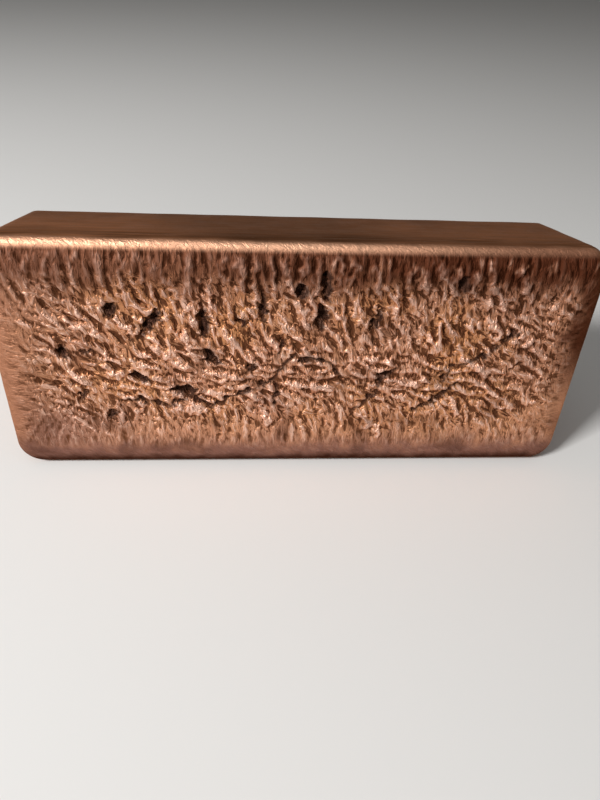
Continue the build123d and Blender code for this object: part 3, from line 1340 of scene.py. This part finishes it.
        # Painted shade and highlight that follow the fine wrinkles, added to the relief tone.
        shade = sheet.spread(wrinkles, 0.0, 1.0, -self.wrinkle_tone, self.wrinkle_tone)
        tone = sheet.maths("ADD", relief, shade)
        sheen = sheet.spread(sheet.noise(place, self.sheen_patches, 1.0), 0.35, 0.65, 0.6, 1.0)
        mould_tone = sheet.maths("MULTIPLY", sheet.maths("MULTIPLY", relief, sheen), laps)
        mould_colour = sheet.blend(mould_tone, self.mould_dark, self.mould_light)
        colour = sheet.blend(pour, mould_colour, self.pour_colour(sheet, tone, place))
        sheet.feed(shader.inputs["Base Color"], colour)
        shader.inputs["Metallic"].default_value = self.metallic
        shader.inputs["Specular IOR Level"].default_value = self.edge_gloss
        shader.inputs["Specular Tint"].default_value = (*self.edge_tint, 1.0)
        sheet.feed(shader.inputs["Roughness"], self.dullness(sheet, place, pour))

        height = sheet.blend(pour, sheet.maths("MULTIPLY", laps, self.lap_depth), wrinkles)
        bump = sheet.add("ShaderNodeBump")
        bump.inputs["Strength"].default_value = 1.0
        bump.inputs["Distance"].default_value = self.fibre_depth * MM
        sheet.feed(bump.inputs["Height"], height)
        sheet.feed(shader.inputs["Normal"], bump.outputs["Normal"])
        return material


@dataclass(frozen=True)
class SoftLamp:
    """One soft area lamp, in metres and watts."""

    name: str
    place: Triple
    target: Triple
    size: float
    power: float

    def hang(self) -> None:
        """Adds the lamp to the scene, turned to its target."""
        lamp = bpy.data.lights.new(self.name, "AREA")
        lamp.shape = "SQUARE"
        lamp.size = self.size
        lamp.energy = self.power
        holder = bpy.data.objects.new(self.name, lamp)
        holder.location = self.place
        heading = Vector(self.target) - Vector(self.place)
        holder.rotation_euler = heading.to_track_quat("-Z", "Y").to_euler()
        bpy.context.scene.collection.objects.link(holder)


@dataclass
class Studio:
    """A plain pale floor and soft light from above."""

    floor_size: float = 8.0
    floor_colour: Colour = (0.76, 0.75, 0.73)
    floor_roughness: float = 0.9
    sky_colour: Colour = (1.0, 0.98, 0.95)
    sky_strength: float = 0.12
    lamps: tuple[SoftLamp, ...] = (
        SoftLamp("ceiling_panel", (-0.10, -0.25, 1.00), (0.0, 0.0, 0.0), 0.9, 1.6),
        SoftLamp("key_lamp", (-0.60, -0.42, 0.60), (0.0, 0.0, 0.0), 0.2, 9.5),
    )

    def floor(self) -> bpy.types.Object:
        """Lays the floor.

        Returns:
            The floor's object.
        """
        plane = bmesh.new()
        bmesh.ops.create_grid(plane, x_segments=1, y_segments=1, size=self.floor_size / 2)
        mesh = bpy.data.meshes.new("floor")
        plane.to_mesh(mesh)
        plane.free()
        floor = bpy.data.objects.new("floor", mesh)
        material = bpy.data.materials.new("pale_floor")
        material.use_nodes = True
        shader = material.node_tree.nodes["Principled BSDF"]
        shader.inputs["Base Color"].default_value = (*self.floor_colour, 1.0)
        shader.inputs["Roughness"].default_value = self.floor_roughness
        mesh.materials.append(material)
        bpy.context.scene.collection.objects.link(floor)
        return floor

    def light(self) -> None:
        """Sets the sky and hangs the lamps."""
        world = bpy.data.worlds.new("soft_room")
        world.use_nodes = True
        sky = world.node_tree.nodes["Background"]
        sky.inputs["Color"].default_value = (*self.sky_colour, 1.0)
        sky.inputs["Strength"].default_value = self.sky_strength
        bpy.context.scene.world = world
        for lamp in self.lamps:
            lamp.hang()


@dataclass(frozen=True)
class Viewpoint:
    """The camera, close in front of the ingot and a little to its left, in millimetres and degrees."""

    place: Triple = (-11.19, -140.24, 119.6)
    pitch: float = 38.53
    yaw: float = 5.65
    roll: float = 3.59
    lens: float = 27.0
    sensor: float = 36.0
    nearest: float = 1.0

    def set_up(self) -> None:
        """Adds the camera and makes it the scene's own."""
        camera = bpy.data.cameras.new("camera")
        camera.lens = self.lens
        camera.sensor_width = self.sensor
        camera.clip_start = self.nearest * MM
        pitch, yaw, roll = (math.radians(angle) for angle in (self.pitch, self.yaw, self.roll))
        forward = Vector((math.sin(yaw) * math.cos(pitch), math.cos(yaw) * math.cos(pitch), -math.sin(pitch)))
        right = Vector((math.cos(yaw), -math.sin(yaw), 0.0))
        above = right.cross(forward)
        rolled_right = math.cos(roll) * right + math.sin(roll) * above
        rolled_above = math.cos(roll) * above - math.sin(roll) * right
        turn = Matrix((rolled_right, rolled_above, -forward)).transposed()
        holder = bpy.data.objects.new("camera", camera)
        holder.matrix_world = Matrix.Translation(Vector(self.place) * MM) @ turn.to_4x4()
        bpy.context.scene.collection.objects.link(holder)
        bpy.context.scene.camera = holder


def laid_down(record: dict, mould: LoafMould) -> Matrix:
    """Transform from the mould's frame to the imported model's frame.

    Args:
        record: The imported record, whose mould_base mount is the middle of the mould floor's face.
        mould: The mould, whose draft says how far the casting turns.

    Returns:
        The transform, from millimetres to metres.
    """
    base = next(mount for mount in record["mounts"] if mount["name"] == "mould_base")
    turn = Matrix.Rotation(math.pi / 2 - mould.lean, 4, "X")
    return Matrix.Translation(base["pos_m"]) @ turn @ Matrix.Scale(MM, 4)


def main() -> None:
    """Loads the frame, builds the ingot and its studio, and reports each piece."""
    logging.basicConfig(level=logging.INFO, format="%(name)s: %(message)s")
    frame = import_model()
    bpy.context.scene.view_settings.view_transform = "Standard"

    mould = LoafMould()
    casting = IngotCasting(mould, PourRelief(mould), MouldSkin(mould))
    ingot = casting.build(laid_down(frame["record"], mould))
    ingot.data.materials.append(CastCopper().material())
    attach(ingot, "root")
    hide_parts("ingot")
    LOG.info("%s: %d vertices, %d faces", ingot.name, len(ingot.data.vertices), len(ingot.data.polygons))

    studio = Studio()
    studio.floor()
    studio.light()
    Viewpoint().set_up()
    LOG.info("studio: floor, %d lamps and camera", len(studio.lamps))


if __name__ == "__main__":
    main()
